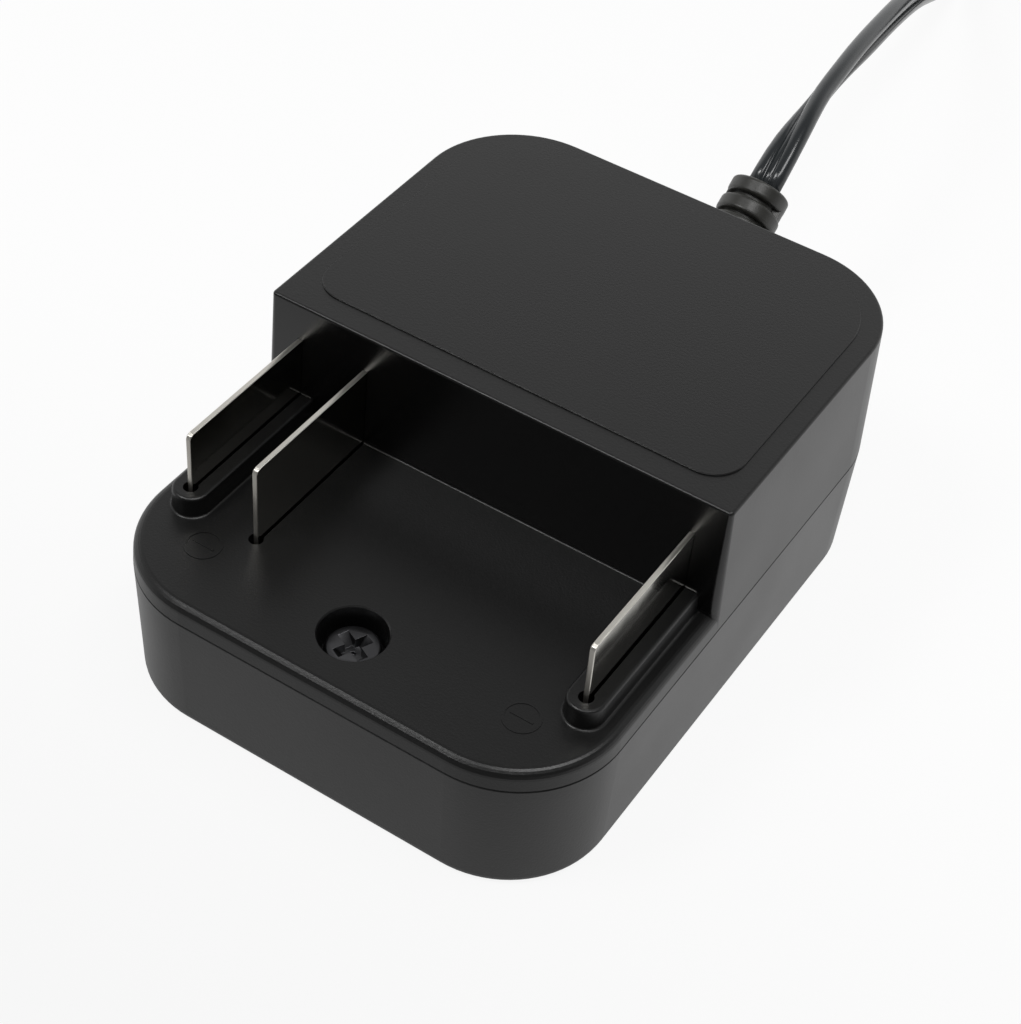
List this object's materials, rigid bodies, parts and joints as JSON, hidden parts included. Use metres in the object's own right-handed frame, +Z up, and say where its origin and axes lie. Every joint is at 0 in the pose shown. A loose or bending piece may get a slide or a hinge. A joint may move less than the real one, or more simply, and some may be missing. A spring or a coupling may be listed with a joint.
{
  "type": "battery charging dock",
  "caption": "Low charging dock with a shelf, a raised block and upright contact blades for a slide-on battery pack, with a flat twin lead and a round plug.",
  "frame": {"origin": "middle of the housing's underside, on the surface that the dock stands on", "axes": "+X to the right, +Y from the shelf to the block and the lead, +Z up"},
  "size_m": [0.0731, 0.2815, 0.0342],
  "materials": {
    "shell_plastic": "fine moulded texture, black",
    "blade_metal": "nickel-plated sheet, sheared edges",
    "black_screw": "black oxide",
    "board": "solder mask, green",
    "zinc_screw": "zinc plated",
    "capacitor_sleeve": "shrink sleeve, dark blue",
    "component_black": "moulded epoxy, black",
    "fuse_coating": "dipped coating, amber",
    "resistor_tan": "lacquer, tan",
    "resistor_blue": "lacquer, pale blue",
    "wire_red": "vinyl, red",
    "wire_black": "vinyl, black",
    "lead_vinyl": "soft vinyl, black, satin",
    "tie_strap": "woven strap, black",
    "plug_metal": "nickel plated"
  },
  "bodies": {
    "root": {"lower_shell": "shell_plastic", "upper_shell": "shell_plastic", "left_power_blade": "blade_metal", "signal_blade": "blade_metal", "right_power_blade": "blade_metal", "housing_screw": "black_screw", "circuit_board": "board", "board_screws": "zinc_screw", "capacitor": "capacitor_sleeve", "power_diode": "component_black", "fuse": "fuse_coating", "sense_resistor": "resistor_tan", "pull_up_resistor": "resistor_blue", "charge_chip": "component_black", "positive_wire": "wire_red", "negative_wire": "wire_black", "strain_relief": "lead_vinyl", "cord_run": "lead_vinyl", "cord_coil": "lead_vinyl", "cord_tail": "lead_vinyl", "coil_tie": "tie_strap", "plug_grip": "lead_vinyl", "plug_sleeve": "plug_metal", "plug_insulator": "component_black", "plug_contact": "plug_metal"}
  },
  "joints": []
}
